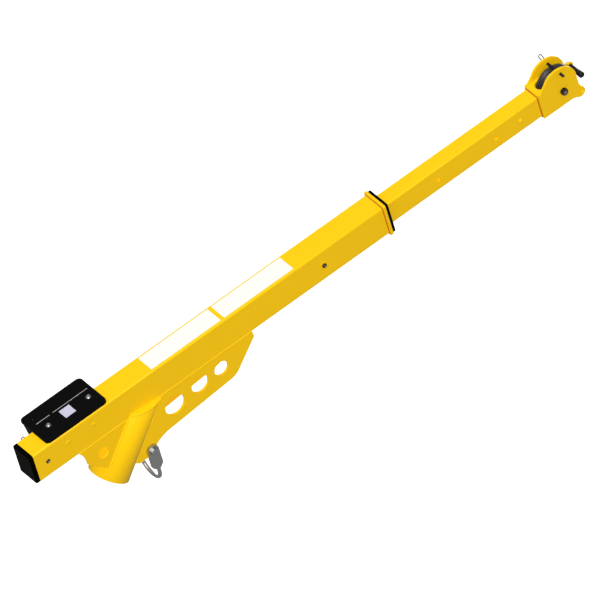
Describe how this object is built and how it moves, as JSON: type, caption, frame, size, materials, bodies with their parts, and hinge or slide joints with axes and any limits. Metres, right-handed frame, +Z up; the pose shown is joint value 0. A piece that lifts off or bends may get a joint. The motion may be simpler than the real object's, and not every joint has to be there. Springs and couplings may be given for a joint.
{
  "type": "davit arm",
  "caption": "Telescoping davit arm: a boom rising from a mast sleeve with gussets, a winch bracket at its tail, an anchor bail below and a sheave between cheek plates at its head.",
  "frame": {"origin": "centre of the bottom rim of the mast sleeve, on the axis of its bore", "axes": "+Z up along the mast sleeve; the boom rises towards +X in the XZ plane at 40 degrees above level; the winch bracket overhangs towards +Y"},
  "size_m": [1.4849, 0.1501, 1.2686],
  "materials": {
    "yellow_paint": "satin powder coat",
    "black_paint": "satin powder coat",
    "black_plastic": "moulded, matt",
    "sheave_plastic": "machined nylon, satin",
    "rubber": "matt",
    "zinc_steel": "zinc plated",
    "black_steel": "black oxide",
    "guide_nylon": "matt",
    "bronze": "machined",
    "label": "printed film, blank"
  },
  "bodies": {
    "boom": {"outer_tube": "yellow_paint", "rear_cap": "black_plastic", "end_collar": "yellow_paint", "wiper_gasket": "rubber", "gasket_screws": "zinc_steel", "front_guide": "guide_nylon", "mast_sleeve": "yellow_paint", "sleeve_top_plates": "yellow_paint", "mast_liner": "guide_nylon", "thrust_pad": "guide_nylon", "mast_stop_plate": "yellow_paint", "rear_gusset_near": "yellow_paint", "rear_gusset_far": "yellow_paint", "front_gusset_near": "yellow_paint", "front_gusset_far": "yellow_paint", "bracket_plate": "black_paint", "bracket_side_plate": "black_paint", "bracket_end_gusset_rear": "black_paint", "bracket_end_gusset_front": "black_paint", "bracket_top_bolts": "black_steel", "bracket_top_nuts": "zinc_steel", "bracket_side_bolts": "zinc_steel", "bracket_side_nuts": "zinc_steel", "label_rear": "label", "label_front": "label", "tag_label": "label", "plunger_bush": "yellow_paint", "bail_bolt": "zinc_steel", "bail_nut": "zinc_steel", "bail_spacer": "zinc_steel"},
    "inner_boom": {"inner_tube": "yellow_paint", "rear_slider": "guide_nylon", "slider_screws": "zinc_steel", "head_core": "yellow_paint", "cheek_near": "yellow_paint", "cheek_far": "yellow_paint", "head_bolt": "yellow_paint", "head_nut": "zinc_steel", "axle_spacers": "zinc_steel", "axle_bolt": "black_steel", "axle_washers": "black_steel", "axle_nut": "zinc_steel", "roller_pin": "zinc_steel", "roller_nut": "zinc_steel"},
    "sheave": {"sheave": "sheave_plastic", "sheave_bush": "bronze"},
    "guide_roller": {"guide_roller": "black_plastic"},
    "keeper_pin": {"keeper_pin": "black_steel"},
    "keeper_loop": {"keeper_pin_loop": "zinc_steel"},
    "rear_pin": {"rear_pin": "black_steel"},
    "rear_loop": {"rear_pin_loop": "zinc_steel"},
    "lock_plunger": {"lock_plunger": "black_steel"},
    "bail": {"bail": "zinc_steel"}
  },
  "joints": [
    {"name": "boom_slide", "type": "slide", "parent": "boom", "child": "inner_boom", "axis": [0.766, 0, 0.6428], "range_m": [-0.396, 0]},
    {"name": "sheave_spin", "type": "hinge", "parent": "inner_boom", "child": "sheave", "pos_m": [1.06731, 0, 1.18372], "axis": [0, 1, 0], "continuous": true},
    {"name": "guide_roller_spin", "type": "hinge", "parent": "inner_boom", "child": "guide_roller", "pos_m": [1.11709, 0, 1.22941], "axis": [0, 1, 0], "continuous": true},
    {"name": "keeper_pin_pull", "type": "slide", "parent": "inner_boom", "child": "keeper_pin", "axis": [0, 1, 0], "range_m": [0, 0.08]},
    {"name": "keeper_loop_swing", "type": "hinge", "parent": "keeper_pin", "child": "keeper_loop", "pos_m": [1.03301, 0.04, 1.23392], "axis": [0.5446, 0, 0.8387], "range_deg": [-180, 0]},
    {"name": "rear_pin_pull", "type": "slide", "parent": "boom", "child": "rear_pin", "axis": [0, 1, 0], "range_m": [0, 0.081]},
    {"name": "rear_loop_swing", "type": "hinge", "parent": "rear_pin", "child": "rear_loop", "pos_m": [-0.26897, 0.0475, 0.05527], "axis": [0.5446, 0, 0.8387], "range_deg": [-180, 0]},
    {"name": "lock_plunger_push", "type": "slide", "parent": "boom", "child": "lock_plunger", "axis": [0, 1, 0], "range_m": [0, 0.005]},
    {"name": "bail_swing", "type": "hinge", "parent": "boom", "child": "bail", "pos_m": [0.08018, 0, 0.095], "axis": [0, 1, 0], "range_deg": [-90, 50]}
  ]
}
